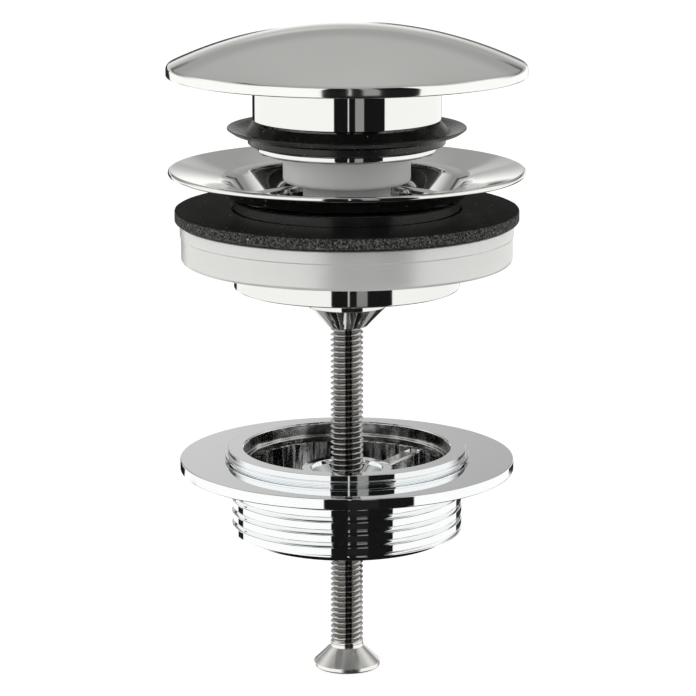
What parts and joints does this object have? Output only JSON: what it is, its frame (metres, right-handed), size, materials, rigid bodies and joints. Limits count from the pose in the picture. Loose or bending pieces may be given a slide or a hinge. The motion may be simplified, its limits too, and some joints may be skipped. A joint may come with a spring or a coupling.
{
  "type": "pop up basin waste",
  "caption": "Push-open basin waste with a domed plug, dished flange, foam gasket, plastic ring and threaded lower body, drawn apart on its clamping screw.",
  "frame": {"origin": "on the common axis, level with the underside of the clamping screw's head", "axes": "+Z along the axis, up towards the dome; the picture looks along +Y with +X to the right"},
  "size_m": [0.0644, 0.0644, 0.1188],
  "materials": {
    "chrome": "polished",
    "steel": "satin",
    "rubber": "matt",
    "foam": "matt, fine grain",
    "grey_plastic": "satin",
    "white_plastic": "satin",
    "milky_plastic": "satin, slightly see-through"
  },
  "bodies": {
    "root": {"upper_body": "chrome", "cartridge_body": "grey_plastic", "latch_ring": "white_plastic", "lift_spring": "steel"},
    "slider": {"cartridge_sleeve": "grey_plastic", "plug_spindle": "steel", "lock_nut": "steel", "rotor_clip": "steel"},
    "rotor": {"latch_rotor": "white_plastic"},
    "plug": {"dome_cap": "chrome", "plug_body": "chrome", "plug_seal": "rubber", "plug_base": "chrome"},
    "seals": {"flange_gasket": "foam", "seal_ring": "milky_plastic"},
    "lower": {"lower_body": "chrome"},
    "screw": {"clamp_screw": "steel"}
  },
  "joints": [
    {"name": "plug_press", "type": "slide", "parent": "root", "child": "slider", "axis": [0, 0, -1], "range_m": [0, 0.0076], "stiffness_N_per_m": 350, "springref_m": -0.018, "deforming": ["lift_spring"]},
    {"name": "latch_turn", "type": "hinge", "parent": "slider", "child": "rotor", "pos_m": [0, 0, 0.092], "axis": [0, 0, 1], "range_deg": [0, 45.5]},
    {"name": "plug_unscrew", "type": "hinge", "parent": "slider", "child": "plug", "pos_m": [0, 0, 0.11], "axis": [0, 0, 1], "continuous": true},
    {"name": "seal_slide", "type": "slide", "parent": "root", "child": "seals", "axis": [0, 0, 1], "range_m": [-0.005, 0.0018]},
    {"name": "lower_slide", "type": "slide", "parent": "root", "child": "lower", "axis": [0, 0, 1], "range_m": [-0.0275, 0.0289]},
    {"name": "screw_turn", "type": "hinge", "parent": "root", "child": "screw", "pos_m": [0, 0, 0.035], "axis": [0, 0, 1], "continuous": true}
  ],
  "couplings": [
    {"joint": "latch_turn", "follows": "plug_press", "rad_per_m": 103.3}
  ]
}
